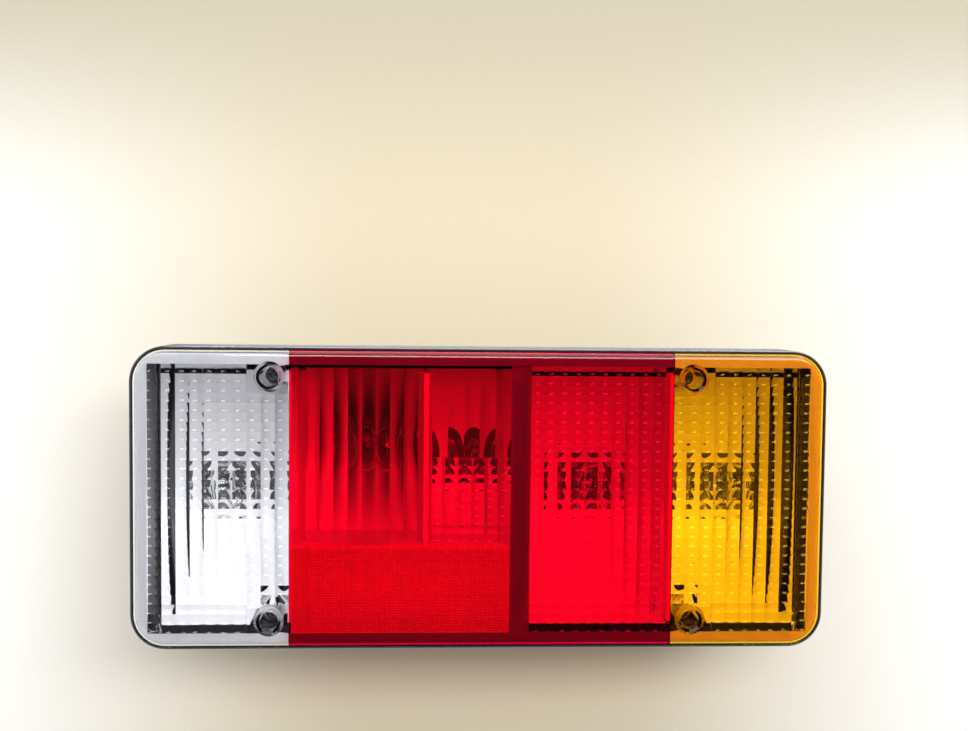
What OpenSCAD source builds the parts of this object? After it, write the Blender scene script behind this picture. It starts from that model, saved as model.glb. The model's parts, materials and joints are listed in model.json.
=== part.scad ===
// Rear lamp cluster for a light commercial vehicle. A black moulded tub carries a one-piece lens
// cover in three colours. Behind the lens a reflector tray holds five bulbs in their holders.
// The lens faces -Y, +Z is up, and the four studs point along +Y from the mounting panel at y = 0.

/* [Lamp outline] */
// Width over the lens
lamp_w = 346; // [300:1:400]
// Height over the lens
lamp_h = 150; // [140:1:170]
// Depth from the mounting panel to the lens face
lamp_d = 86; // [82:1:100]
// Corner radius of the outline
corner_r = 17.5; // [17:0.5:24]

/* [Lens cover] */
// Height of the lens side wall that shows outside
lens_side = 16; // [14:0.5:20]
// Thickness of the lens face
lens_t = 2.5; // [2:0.1:3]
// Thickness of the lens side wall
lens_wall = 3; // [2.6:0.1:3.4]
// Radius of the outer edge of the lens
lens_edge_r = 5; // [3.5:0.5:7]
// Width of the clear end and of the amber end
end_w = 78; // [74:1:84]
// Smooth rim beside the field of optics
field_side = 9; // [8:0.5:14]
// Smooth rim above and below the field of optics
field_edge = 8.5; // [8:0.5:14]
// Length of the tongue that enters the housing's groove
tongue_l = 11.6; // [6:0.2:12.4]
// Thickness of that tongue
tongue_t = 2; // [1.4:0.1:2.2]

/* [Lens optics] */
// Pillow columns in each end of the lens
end_columns = 10; // [4:1:14]
// Pillow rows from bottom to top
pillow_rows = 28; // [8:2:32]
// Pillow columns in the stop lamp
stop_columns = 10; // [4:1:12]
// Height of a pillow
pillow_bulge = 0.5; // [0.2:0.05:0.7]
// Height of a flute
flute_bulge = 0.6; // [0.2:0.05:0.8]
// Flutes in front of the fog lamp
flute_columns = 10; // [4:1:14]
// Width of the plain red band beside the stop lamp's optics
stop_band = 4; // [1:0.5:8]
// Top edge of the reflex field
reflex_top = -22.5; // [-30:0.5:-10]
// Plain strip between the clear end and the reflex field
reflex_strip = 10; // [5:1:30]
// Prism columns in the reflex field
reflex_columns = 24; // [8:1:30]
// Prism rows in the reflex field
reflex_rows = 10; // [4:1:12]
// Height of a reflex prism
prism_h = 1.6; // [0.8:0.1:2]
// Left edge of the pillows in front of the tail bulb
tail_left = -25; // [-35:1:-15]
// Top edge of the pillows in front of the tail bulb
tail_top = 21; // [10:1:40]
// Columns of pillows in front of the tail bulb
tail_columns = 5; // [3:1:7]
// Rows of pillows in front of the tail bulb
tail_rows = 9; // [4:1:12]

/* [Lens screws] */
// Distance from the change of colour to a screw
well_side = 10; // [8.5:0.5:16]
// Distance from the lamp's long edge to a screw
well_edge = 14.5; // [14:0.5:16]
// Depth of a screw well below the lens face
well_depth = 22; // [16:0.5:26]
// Radius of the well
well_r = 4.6; // [4.2:0.1:4.8]
// Radius of the chamfered mouth of the well
well_mouth_r = 6; // [5:0.1:6.5]
// Wall of the well at its foot
well_wall = 1.6; // [1.2:0.1:1.8]
// Thickness of the well's floor
well_floor = 2.5; // [2:0.1:3.5]
// Radius of a lens screw's shank
lens_screw_r = 1.75; // [1.5:0.05:2]
// Radius of a lens screw's head
lens_screw_head_r = 3.9; // [3.2:0.1:4]
// Height of a screw head
screw_head_h = 2.6; // [1.8:0.1:3]
// Length of a lens screw under its head
lens_screw_l = 20; // [12:1:22]

/* [Housing] */
// Wall thickness
wall = 2.5; // [2:0.1:3]
// Height of the flange band
band_h = 18; // [16:0.5:22]
// Thickness of the flange band
band_t = 2.2; // [1.8:0.1:2.6]
// Width of the ledge behind the flange band
ledge_w = 4.5; // [3.5:0.1:5]
// Inset of the tub where its taper starts
taper_inset = 7; // [6:0.25:9]
// Height above the panel where the taper starts
taper_h = 32; // [20:1:34]
// Inset of the mounting panel
panel_inset = 15; // [12:0.5:15]
// Radius of the panel's edge
panel_edge_r = 1.6; // [0.8:0.1:2]
// Width of the sealing groove
groove_w = 3; // [2.6:0.1:3.4]

/* [Mounting studs] */
// Distance from the lamp's short edge to a stud
stud_side = 63; // [60:1:68]
// Distance from the lamp's long edge to a stud
stud_edge = 40; // [37:0.5:45]
// Radius of a stud
stud_r = 3; // [2.5:0.5:4]
// Length of a stud behind the panel
stud_l = 28; // [15:1:40]
// Radius of the stud's head
stud_head_r = 8; // [7:0.5:9]
// Thickness of the stud's head
stud_head_h = 3; // [2:0.5:4]
// Radius of the ring groove round a stud
ring_r = 11; // [10:0.5:13]

/* [Connector] */
// Radius of the connector's body
connector_r = 22.3; // [21:0.1:24]
// Height of the connector behind the panel
connector_h = 35; // [25:1:45]
// Radius of the rubber sleeve at its foot
boot_foot_r = 29.5; // [28:0.5:31]
// Thickness of the rubber sleeve at its rim
boot_rim_t = 1.2; // [1:0.1:2]
// Radius of the sleeve's outer flange
boot_flange_r = 32; // [31:0.5:36]
// Depth of the socket
socket_depth = 23; // [15:1:26]
// Width of the socket
socket_w = 20; // [18:0.5:21]
// Height of the socket
socket_tall = 28.6; // [26:0.2:29]
// Length of a blade inside the socket
blade_l = 12; // [6:1:16]
// Width of a blade
blade_w = 6.3; // [4.8:0.1:6.6]
// Thickness of a blade
blade_t = 0.8; // [0.6:0.1:1.2]

/* [Reflector tray] */
// Thickness of the tray
tray_t = 2.2; // [1.8:0.1:2.6]
// Height of the tray's lowest line above the panel
tray_floor = 24; // [23:0.5:26]
// Depth behind the lens face of the edges of the large troughs
trough_edge = 33.7; // [30:0.1:36]
// Radius of the trough behind the fog and tail lamps
rear_trough_r = 62; // [56:1:90]
// Distance from the lamp's outline to the tray
tray_margin = 13; // [12:0.5:17]
// Gap between the tray's partitions and the inside of the lens
partition_gap = 3.5; // [2:0.5:8]
// Thickness of a partition
partition_t = 2; // [1.4:0.1:2.6]
// Place of the partition between the fog and tail lamps
fog_wall_x = -28; // [-30:1:-24]
// Place of the black rib between the tail and stop lamps
rib_x = 19; // [18:0.5:20]
// Width of the slot that the rib stands in
slot_w = 6; // [5:0.5:8]
// Height of the apron above the tray's lowest line
apron_rise = 16; // [12:1:24]

/* [Bulbs] */
// Distance from the lamp's short edge to the reversing and indicator bulbs
end_bulb_edge = 43; // [38:1:48]
// Place of the fog bulb between the tail lamp's partition and the clear end
fog_bulb_share = 0.4; // [0.35:0.05:0.55]
// Place of the fog bulb, upwards
fog_bulb_y = 21; // [16:1:26]
// Place of the tail bulb, sideways
tail_bulb_x = -5; // [-8:0.5:-4]
// Place of the tail bulb, upwards
tail_bulb_y = 15; // [12:1:22]
// Radius of the large glass bulbs
glass_r = 12.5; // [10:0.5:13]
// Height of the large bulbs from contact to tip
bulb_h = 51.5; // [48:0.5:56]
// Radius of the tail lamp's glass bulb
small_glass_r = 9; // [8:0.5:10]
// Height of the tail lamp's bulb from contact to tip
small_bulb_h = 37; // [34:0.5:46]
// Radius of a bulb's metal cap
cap_r = 7.5; // [7:0.1:7.6]
// Radius of the hole for a bulb holder in the tray
holder_hole_r = 14.5; // [13.5:0.1:15]

/* [Hidden] */
$fn = 64;

// Everything is drawn lying on its back, with the panel at z = 0 and the lens at z = lamp_d,
// and stands up at the end. An inset is measured inwards from the lamp's outline.
fuse = 0.4;            // depth by which features of one piece run into each other
play = 0.1;            // clearance between pieces that slide together
thread_play = 0.05;    // clearance between a screw and its hole

half_w = lamp_w / 2;
half_h = lamp_h / 2;
lens_foot = lamp_d - lens_side;        // where the lens wall sits on the flange band
lens_inner = lamp_d - lens_t;          // inside of the lens face
ledge_z = lens_foot - band_h;
groove_floor = ledge_z + wall;
colour_x = half_w - end_w;             // where each change of colour lies
field_x = half_w - field_side;
field_y = half_h - field_edge;
groove_in = band_t + groove_w;         // inset of the groove's inner wall
gasket_top = lens_foot - tongue_l;
foot_h = 3;                            // height of the thick foot of the lens wall
tongue_in = band_t + 0.3;

optic_base = 0.3;                      // thickness of the pad that the optics stand on
flute_low = reflex_top + 1.5;
stop_left = rib_x + slot_w / 2 + partition_t;
strip_edge = rib_x - slot_w / 2 - partition_t;

well_x = colour_x + well_side;
well_y = half_h - well_edge;
well_bottom = lamp_d - well_depth;     // where the screw's head sits
well_foot = well_bottom - well_floor;
well_places = [for (x = [-well_x, well_x], y = [-well_y, well_y]) [x, y]];
ear_t = 2.3;
ear_r = 6;
lens_post_r = 5;
lens_post_top = well_foot - ear_t;
lens_post_l = 25;

stud_x = half_w - stud_side;
stud_y = half_h - stud_edge;
stud_recess = 1;                       // depth of the dark recess at a stud's foot
stud_shoulder_r = stud_r + 0.6;        // shoulder that is pressed into the panel
stud_places = [for (x = [-stud_x, stud_x], y = [-stud_y, stud_y]) [x, y]];
stud_seat = wall + 1.5;                // inside face that the stud's head bears on
stud_boss_r = stud_head_r + 2;
stud_flat = 0.8 * stud_head_r;         // half the distance between the head's flats

strip_t = 0.8;
strip_w = 5;
boot_inner_flange = wall + 2.5;
connector_top = boot_inner_flange + 1; // inner end of the connector, where the strips lie
holder_bottom = connector_top + strip_t;
socket_mid = [2.85, -0.15];
blade_columns = [0.1, 7.6];
blade_rows = [-9.5, 0, 9.5];

holder_floor = holder_bottom + 2.2;
contact_top = holder_floor + 1;
collar_t = 2.2;
collar_end = tray_floor - 6;           // rear end of the tray's collars
holder_flange_r = holder_hole_r + collar_t;
sleeve_in = cap_r + 0.25;
sleeve_out = sleeve_in + 0.4;
cap_top = contact_top + 17;
glass_foot = cap_top - 4;
neck_r = cap_r - 0.7;
glass_t = 0.8;

tray_x = half_w - tray_margin;
tray_y = half_h - tray_margin;
trough_rise = lamp_d - trough_edge - tray_floor;
trough_r = (tray_y * tray_y + trough_rise * trough_rise) / (2 * trough_rise);
trough_axis = tray_floor + trough_r;
apron_h = tray_floor + apron_rise;
rear_axis = tray_floor + rear_trough_r;
rear_mid = 19;                         // height of the rear trough's lowest line
shelf_y = reflex_top - 1.5;            // shelf between the lamps and the reflex field
partition_top = lens_inner - partition_gap;
tray_screw_y = 12 - tray_y;
tray_screw_places = [[5.5 - colour_x, tray_screw_y], [8, tray_screw_y]];
tray_screw_r = 1.5;
tray_screw_head_r = 3.2;
tray_screw_l = 12;
tray_post_r = 4;
bus_y = tray_y - 11;                   // height of the ground strip's long run
rib_y = tray_y - 5;                    // half height of the black rib
tab_reach = cap_r + 5.9;               // how far the sleeve's earth tab stands out

end_bulb_x = half_w - end_bulb_edge;
reverse_at = [-end_bulb_x, 0];
fog_at = [fog_wall_x - fog_bulb_share * (colour_x + fog_wall_x), fog_bulb_y];
tail_at = [tail_bulb_x, tail_bulb_y];
stop_at = [(stop_left + colour_x) / 2, 0];
indicator_at = [end_bulb_x, 0];
main_bulbs = [reverse_at, stop_at, indicator_at];
rear_bulbs = [fog_at, tail_at];
bulbs = concat(main_bulbs, rear_bulbs);

// Stands the lamp up: what was drawn upwards points to the lens side, -Y
module stand() rotate([90, 0, 0]) children();

// Points on an arc round c, from angle a0 to a1
function arc(c, r, a0, a1, n) =
    [for (i = [0:n]) let (a = a0 + (a1 - a0) * i / n) [c[0] + r * cos(a), c[1] + r * sin(a)]];

// Carries a section right round the lamp. The section is a list of [inset, height].
module round_lamp(section) {
    outline = [for (p = section) [corner_r - p[0], p[1]]];
    reach = [half_w - corner_r, half_h - corner_r];
    for (k = [0:3]) {
        out = reach[k % 2];
        along = reach[(k + 1) % 2];
        rotate([0, 0, 90 * k]) {
            translate([out, 0, 0]) rotate([90, 0, 0])
                linear_extrude(height = 2 * along, center = true) polygon(outline);
            translate([out, along, 0]) rotate_extrude(angle = 90) polygon(outline);
        }
    }
}

// Flat middle that closes a section carried round the lamp
module middle_plate(z, t) {
    reach = [half_w - corner_r, half_h - corner_r];
    translate([-reach[0], -reach[1], z]) cube([2 * reach[0], 2 * reach[1], t]);
}

// A box between two corners
module span(low, high) translate(low) cube(high - low);

// Points of a row of bulges on the inside of the lens face, each made of straight steps
function bulges(low, high, count, height, steps) = concat(
    [for (i = [0:count * steps]) let (t = (i % steps) / steps)
        [low + (high - low) * i / (count * steps), lens_inner - optic_base - height * 4 * t * (1 - t)]],
    [[high, lens_inner + fuse], [low, lens_inner + fuse]]);

// Field of lens optics: columns of bulges crossed by rows of bulges, which leaves one pillow in
// each cell. Two steps make a pyramid, and a field of one row is a field of flutes.
module optic_field(low, high, columns, rows, height, steps = 3) intersection() {
    translate([0, high[1], 0]) rotate([90, 0, 0]) linear_extrude(height = high[1] - low[1])
        polygon(bulges(low[0], high[0], columns, height, steps));
    if (rows > 1) translate([low[0], 0, 0]) rotate([90, 0, 90])
        linear_extrude(height = high[0] - low[0])
            polygon(bulges(low[1], high[1], rows, height, steps));
    else span([low[0], low[1], 0], [high[0], high[1], lamp_d]);
}

// Section of the lens wall, with its rounded edge, its thick foot and its tongue
function lens_section() = concat(
    [[0, lens_foot], [0, lamp_d - lens_edge_r]],
    arc([lens_edge_r, lamp_d - lens_edge_r], lens_edge_r, 170, 90, 8),
    [[corner_r, lamp_d], [corner_r, lens_inner]],
    arc([lens_edge_r, lamp_d - lens_edge_r], lens_edge_r - min(lens_wall, lens_t), 90, 180, 6),
    [[lens_wall, lens_foot + foot_h],
     [tongue_in + tongue_t, lens_foot + foot_h], [tongue_in + tongue_t, gasket_top],
     [tongue_in, gasket_top], [tongue_in, lens_foot]]);

// One colour of the cover, between two heights across the lamp
module lens_piece(left, right) intersection() {
    union() {
        round_lamp(lens_section());
        middle_plate(lens_inner, lens_t);
    }
    span([left, -lamp_h, 0], [right, lamp_h, 2 * lamp_d]);
}

// Tapered bosses that the lens screws sit in, on one side of the lamp
module well_bosses(side) for (y = [-well_y, well_y]) translate([side * well_x, y, well_foot])
    cylinder(h = lens_inner - well_foot + fuse, r1 = well_r + well_wall,
             r2 = well_r + well_wall + 1.4);

module well_bores(side) for (y = [-well_y, well_y]) translate([side * well_x, y, 0]) {
    translate([0, 0, well_bottom]) cylinder(h = well_depth + 1, r = well_r);
    translate([0, 0, well_foot - 1]) cylinder(h = well_floor + 2, r = lens_screw_r + 0.5);
    translate([0, 0, lamp_d - (well_mouth_r - well_r)])
        cylinder(h = well_mouth_r - well_r, r1 = well_r, r2 = well_mouth_r);
}

module lens_end(side) difference() {
    union() {
        lens_piece(side > 0 ? colour_x : -lamp_w, side > 0 ? lamp_w : -colour_x);
        well_bosses(side);
        optic_field([min(side * colour_x, side * field_x), -field_y],
                    [max(side * colour_x, side * field_x), field_y],
                    end_columns, pillow_rows, pillow_bulge);
    }
    well_bores(side);
}

module lens_clear() color("white", 0.5) stand() lens_end(-1);

module lens_amber() color("orange", 0.8) stand() lens_end(1);

module lens_red() color("red", 0.8) stand() {
    lens_piece(-colour_x, colour_x);
    optic_field([stop_left, -field_y], [colour_x - stop_band, field_y],
                stop_columns, pillow_rows, pillow_bulge);
    optic_field([-colour_x + 1, flute_low], [tail_left, field_y], flute_columns, 1, flute_bulge, 6);
    optic_field([tail_left, tail_top], [strip_edge, field_y], tail_columns, 1, flute_bulge, 6);
    optic_field([tail_left, flute_low], [strip_edge, tail_top], tail_columns, tail_rows,
                pillow_bulge);
    optic_field([reflex_strip - colour_x, -field_y], [strip_edge, reflex_top],
                reflex_columns, reflex_rows, prism_h, 2);
}

// Sealing cord in the housing's groove, under the tongue
module lens_gasket() color("dimgray") stand() {
    low = band_t + play;
    high = groove_in - play;
    round_lamp([[low, groove_floor], [low, gasket_top - 0.8], [low + 0.6, gasket_top],
                [high - 0.6, gasket_top], [high, gasket_top - 0.8], [high, groove_floor]]);
}

// Pan-headed screw with a cross recess, its seat at z = 0 and its shank downwards
module pan_screw(shank_r, head_r, head_h, length) difference() {
    union() {
        rotate_extrude() polygon(concat([[0, 0], [head_r, 0]],
            arc([head_r - 0.45 * head_h, head_h * 0.55], 0.45 * head_h, 0, 90, 4),
            [[0, head_h]]));
        translate([0, 0, 1.2 - length]) cylinder(h = length - 1.2 + fuse, r = shank_r);
        translate([0, 0, -length]) cylinder(h = 1.2, r1 = shank_r - 0.8, r2 = shank_r);
    }
    for (a = [0, 90]) rotate([0, 0, a])
        translate([-0.6 * head_r, -0.5, head_h - 1.5]) cube([1.2 * head_r, 1, 2]);
}

module lens_screws() color("dimgray") stand()
    for (p = well_places) translate([p[0], p[1], well_bottom])
        pan_screw(lens_screw_r, lens_screw_head_r, screw_head_h, lens_screw_l);

module tray_screws() color("dimgray") stand()
    for (p = tray_screw_places) translate([p[0], p[1], apron_h + tray_t])
        pan_screw(tray_screw_r, tray_screw_head_r, 2.2, tray_screw_l);

// Section of the housing: tapered tub, ledge, flange band and the groove for the lens
function tub_section() = concat(
    arc([panel_inset + panel_edge_r, panel_edge_r], panel_edge_r, 270, 194, 5),
    [[taper_inset, taper_h], [ledge_w, ledge_z], [0.6, ledge_z], [0, ledge_z + 0.6],
     [0, lens_foot], [band_t, lens_foot], [band_t, groove_floor], [groove_in, groove_floor],
     [groove_in, lens_foot - 2], [groove_in + band_t, lens_foot - 2],
     [groove_in + band_t, ledge_z], [taper_inset + wall, taper_h],
     [min(panel_inset + wall, corner_r), wall], [corner_r, wall], [corner_r, 0]]);

// Post with a web to the wall that a lens screw bites into
module lens_post() {
    translate([0, 0, lens_post_top - lens_post_l]) cylinder(h = lens_post_l, r = lens_post_r);
    span([-3, 0, lens_post_top - lens_post_l],
         [3, half_h - taper_inset - well_y, lens_post_top]);
}

module housing() color("#202224") stand() difference() {
    union() {
        round_lamp(tub_section());
        middle_plate(0, wall);
        for (p = stud_places) translate([p[0], p[1], wall - fuse])
            cylinder(h = stud_seat + stud_head_h + 1 - wall + fuse, r = stud_boss_r);
        for (p = well_places) translate([p[0], p[1], 0]) mirror([0, p[1] < 0 ? 1 : 0, 0])
            lens_post();
        for (p = tray_screw_places) translate([p[0], p[1], wall - fuse])
            cylinder(h = apron_h - wall + fuse, r = tray_post_r);
        span([rib_x - 1.1, -rib_y, wall - fuse], [rib_x + 1.1, rib_y, partition_top - 4]);
    }
    // Studs: hole, dark recess at the foot, pocket for the head, ring groove
    for (p = stud_places) translate([p[0], p[1], 0]) {
        cylinder(h = stud_seat + 1, r = stud_shoulder_r + thread_play);
        translate([0, 0, -1]) cylinder(h = 1 + stud_recess, r = stud_r + 1.2);
        translate([0, 0, stud_seat]) intersection() {
            cylinder(h = stud_head_h + 2, r = stud_head_r + play);
            span([-20, -stud_flat - play, 0], [20, stud_flat + play, 20]);
        }
        difference() {
            translate([0, 0, -1]) cylinder(h = 1.6, r = ring_r + 0.4);
            translate([0, 0, -2]) cylinder(h = 4, r = ring_r - 0.4);
        }
    }
    translate([0, 0, -1]) cylinder(h = wall + 2, r = boot_foot_r - 2.1);
    for (p = well_places) translate([p[0], p[1], lens_post_top - lens_screw_l])
        cylinder(h = lens_screw_l + 1, r = lens_screw_r + thread_play);
    for (p = tray_screw_places) translate([p[0], p[1], apron_h - tray_screw_l])
        cylinder(h = tray_screw_l + 1, r = tray_screw_r + thread_play);
    // Gaps under the rib, for the connector and the ground strip
    span([rib_x - 3, -boot_flange_r - 1, wall], [rib_x + 3, boot_flange_r + 1, 16]);
    span([rib_x - 3, bus_y - strip_w / 2 - 1, wall],
         [rib_x + 3, bus_y + strip_w / 2 + 1, holder_bottom + 2]);
}

module mounting_studs() color("gainsboro") stand() for (p = stud_places) translate(p) {
    tip = 0.8;
    translate([0, 0, tip - stud_l]) cylinder(h = stud_l - tip + stud_recess + fuse, r = stud_r);
    translate([0, 0, stud_recess])
        cylinder(h = stud_seat + fuse - stud_recess, r = stud_shoulder_r);
    translate([0, 0, -stud_l]) cylinder(h = tip, r1 = stud_r - tip, r2 = stud_r);
    intersection() {
        translate([0, 0, stud_seat]) cylinder(h = stud_head_h, r = stud_head_r);
        span([-20, -stud_flat, 0], [20, stud_flat, 40]);
    }
}

// Hard body of the connector, with its keyed socket and two latch windows
module connector_body() color("#30343a") stand() difference() {
    union() {
        translate([0, 0, -connector_h]) cylinder(h = connector_h + connector_top, r = connector_r);
        translate([0, 0, boot_inner_flange]) cylinder(h = 1, r = connector_r + 2.7);
    }
    low = [socket_mid[0] - socket_w / 2, socket_mid[1] - socket_tall / 2];
    high = [socket_mid[0] + socket_w / 2, socket_mid[1] + socket_tall / 2];
    bottom = socket_depth - connector_h;
    span([low[0], low[1], -connector_h - 1], [high[0], high[1], bottom]);
    span([low[0] + 9.5, high[1] - 1, -connector_h - 1], [low[0] + 15.7, high[1] + 4.1, bottom]);
    span([low[0] - 9.1, 0.6, -connector_h - 1], [low[0] - 0.9, 10.1, 9 - connector_h]);
    span([low[0] - 6.9, -11.3, -connector_h - 1], [low[0] - 1.2, -1.9, 9 - connector_h]);
    for (x = blade_columns, y = blade_rows)
        span([x - blade_t / 2 - thread_play, y - blade_w / 2 - thread_play, -connector_h],
             [x + blade_t / 2 + thread_play, y + blade_w / 2 + thread_play, connector_top + 1]);
}

// Rubber sleeve that seals the connector into the panel
module connector_boot() color("#18191b") stand() {
    bore = connector_r + play;
    neck = boot_foot_r - 2.3;
    rim = bore + boot_rim_t;
    top = -connector_h;
    rotate_extrude() polygon([
        [bore, boot_inner_flange], [neck + 3, boot_inner_flange], [neck + 3, wall],
        [neck, wall], [neck, 0], [boot_flange_r, 0], [boot_flange_r, -1.4],
        [boot_flange_r - 0.8, -2.2], [boot_foot_r, -2.6], [boot_foot_r - 0.4, -5],
        [boot_foot_r - 1.4, -5.8], [boot_foot_r - 1.4, -6.8], [boot_foot_r - 0.9, -7.6],
        [rim + 0.2, top + 0.8], [rim - 0.5, top], [bore, top]]);
}

module connector_blades() color("goldenrod") stand() for (x = blade_columns, y = blade_rows) {
    tip = socket_depth - connector_h - blade_l;
    span([x - blade_t / 2, y - blade_w / 2, tip + 1.5],
         [x + blade_t / 2, y + blade_w / 2, connector_top]);
    translate([x, y, tip]) rotate([90, 0, 90])
        linear_extrude(height = blade_t, center = true)
            polygon([[-blade_w / 2, 1.5], [-blade_w / 2 + 1.2, 0], [blade_w / 2 - 1.2, 0],
                     [blade_w / 2, 1.5], [blade_w / 2, 2], [-blade_w / 2, 2]]);
}

// Inside of a trough, whose lowest line runs along x at height mid
module trough_space(mid, axis, r, extra = 0)
    translate([-lamp_w, mid, axis]) rotate([0, 90, 0]) cylinder(h = 2 * lamp_w, r = r + extra);

// Curved sheet of one trough
module trough(low, high, mid, axis, r) intersection() {
    difference() {
        trough_space(mid, axis, r, tray_t);
        trough_space(mid, axis, r);
    }
    span([low[0], low[1], 0], [high[0], high[1], partition_top]);
}

// Everything in front of the tray's back
module before_main() trough_space(0, trough_axis, trough_r, tray_t);

module before_rear() {
    trough_space(rear_mid, rear_axis, rear_trough_r, tray_t);
    span([-colour_x - 2, -tray_y, apron_h], [rib_x, shelf_y, lamp_d]);
}

// Upright partition across the tray at place x
module partition(x, low, high)
    span([x - partition_t / 2, low, 0], [x + partition_t / 2, high, partition_top]);

// Ring behind a bulb's hole that the holder locks into
module collar(at, mid, axis, r) difference() {
    translate([at[0], at[1], collar_end])
        cylinder(h = tray_floor, r = holder_hole_r + collar_t);
    trough_space(mid, axis, r, fuse);
}

module reflector_tray() color("ghostwhite") stand() difference() {
    slot_low = rib_x - slot_w / 2;
    slot_high = rib_x + slot_w / 2;
    union() {
        for (s = [-1, 1]) trough([min(s * tray_x, s * colour_x), -tray_y],
                                 [max(s * tray_x, s * colour_x), tray_y],
                                 0, trough_axis, trough_r);
        trough([slot_high, -tray_y], [colour_x, tray_y], 0, trough_axis, trough_r);
        trough([-colour_x, shelf_y], [slot_low, tray_y], rear_mid, rear_axis, rear_trough_r);
        span([-colour_x, -tray_y, apron_h], [slot_low, shelf_y, apron_h + tray_t]);
        intersection() {
            union() {
                partition(colour_x, -tray_y, tray_y);
                partition(slot_high + partition_t / 2, -tray_y, tray_y);
            }
            before_main();
        }
        intersection() {
            union() {
                partition(-colour_x, -tray_y, tray_y);
                partition(slot_low - partition_t / 2, -tray_y, tray_y);
                partition(fog_wall_x, shelf_y, tray_y);
                span([-colour_x, shelf_y - partition_t / 2, 0],
                     [slot_low, shelf_y + partition_t / 2, partition_top]);
            }
            union() {
                before_main();
                before_rear();
            }
        }
        for (s = [-1, 1]) span([slot_low - 1, s * (tray_y - 1) - 1, apron_h + tray_t],
                               [slot_high + 1, s * (tray_y - 1) + 1, partition_top]);
        for (p = main_bulbs) collar(p, 0, trough_axis, trough_r);
        for (p = rear_bulbs) collar(p, rear_mid, rear_axis, rear_trough_r);
        // Ears that the lens screws clamp onto the housing's posts
        for (p = well_places) {
            s = p[0] < 0 ? -1 : 1;
            u = p[1] < 0 ? -1 : 1;
            translate([p[0], p[1], lens_post_top]) cylinder(h = ear_t, r = ear_r);
            span([min(s * colour_x, p[0]), min(u * (well_y - 4), u * tray_y), lens_post_top],
                 [max(s * colour_x, p[0]), max(u * (well_y - 4), u * tray_y), well_foot]);
        }
    }
    for (p = bulbs) translate([p[0], p[1], 0]) cylinder(h = lamp_d / 2, r = holder_hole_r);
    for (p = well_places) translate([p[0], p[1], 0]) {
        translate([0, 0, lens_post_top - 1]) cylinder(h = ear_t + 2, r = lens_screw_r + 0.5);
        cylinder(h = lens_post_top, r = lens_post_r + 2);
    }
    for (p = tray_screw_places) translate([p[0], p[1], apron_h - 1])
        cylinder(h = tray_t + 2, r = tray_screw_r + 0.3);
}

// Flat strip along a path of corners, lying on the connector's inner end
module strip(path) for (i = [0:len(path) - 2]) {
    a = path[i];
    b = path[i + 1];
    span([min(a[0], b[0]) - strip_w / 2, min(a[1], b[1]) - strip_w / 2, connector_top],
         [max(a[0], b[0]) + strip_w / 2, max(a[1], b[1]) + strip_w / 2, holder_bottom]);
}

module reverse_strip() color("goldenrod") stand()
    strip([[blade_columns[0], blade_rows[0]], [reverse_at[0], blade_rows[0]], reverse_at]);

module fog_strip() color("goldenrod") stand()
    strip([[blade_columns[0], blade_rows[1]], [fog_at[0], blade_rows[1]], fog_at]);

module tail_strip() color("goldenrod") stand()
    strip([[blade_columns[0], blade_rows[2]], [tail_at[0], blade_rows[2]], tail_at]);

module stop_strip() color("goldenrod") stand()
    strip([[blade_columns[1], blade_rows[1]], stop_at]);

module indicator_strip() color("goldenrod") stand()
    strip([[blade_columns[1], blade_rows[0]], [indicator_at[0], blade_rows[0]], indicator_at]);

module ground_strip() color("goldenrod") stand() {
    strip([[blade_columns[1], blade_rows[2]], [blade_columns[1], bus_y]]);
    strip([[reverse_at[0], bus_y], [indicator_at[0], bus_y]]);
    for (p = bulbs) strip([[p[0], bus_y], [p[0], p[1] + tab_reach - 2]]);
}

// Black cup that carries a bulb and locks into the tray's collar
module bulb_holder(at) color("#222222") stand() translate(at) difference() {
    union() {
        translate([0, 0, holder_bottom]) cylinder(h = collar_end - holder_bottom, r = cap_r + 3.5);
        translate([0, 0, collar_end - 2.5]) cylinder(h = 2.5, r = holder_flange_r);
        translate([0, 0, collar_end - fuse]) cylinder(h = 4.8 + fuse, r = holder_hole_r - 2 * play);
    }
    translate([0, 0, holder_floor]) cylinder(h = lamp_d, r = sleeve_out + play);
    translate([0, 0, holder_bottom - 1]) cylinder(h = 10, r = 2 + play);
    span([-3 - play, 0, contact_top - play],
         [3 + play, holder_flange_r, contact_top + strip_t + play]);
}

// Plated metal sleeve with bayonet slots and an earth tab
module bulb_sleeve(at) color("silver") stand() translate(at) {
    difference() {
        translate([0, 0, holder_floor])
            cylinder(h = collar_end + 6 - holder_floor, r = sleeve_out);
        translate([0, 0, holder_floor - 1]) cylinder(h = lamp_d, r = sleeve_in);
        span([-20, -1.1, contact_top + 8], [20, 1.1, lamp_d]);
    }
    span([-3, sleeve_in + 0.1, contact_top], [3, tab_reach, contact_top + strip_t]);
    span([-3, tab_reach - strip_t, holder_bottom], [3, tab_reach, contact_top + strip_t]);
}

module centre_contact(at) color("goldenrod") stand() translate(at) {
    translate([0, 0, holder_bottom]) cylinder(h = holder_floor - holder_bottom + fuse, r = 2);
    translate([0, 0, holder_floor]) cylinder(h = contact_top - holder_floor, r = 3);
}

module bulb_cap(at) color("silver") stand() translate(at) difference() {
    union() {
        translate([0, 0, contact_top]) cylinder(h = 1.2, r = 2.4);
        translate([0, 0, contact_top + 0.8]) cylinder(h = cap_top - contact_top - 0.8, r = cap_r);
        translate([0, 0, contact_top + 9.2]) rotate([0, 90, 0])
            cylinder(h = 2 * sleeve_out, r = 0.9, center = true);
    }
    translate([0, 0, glass_foot]) cylinder(h = 20, r = neck_r + play);
}

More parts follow.
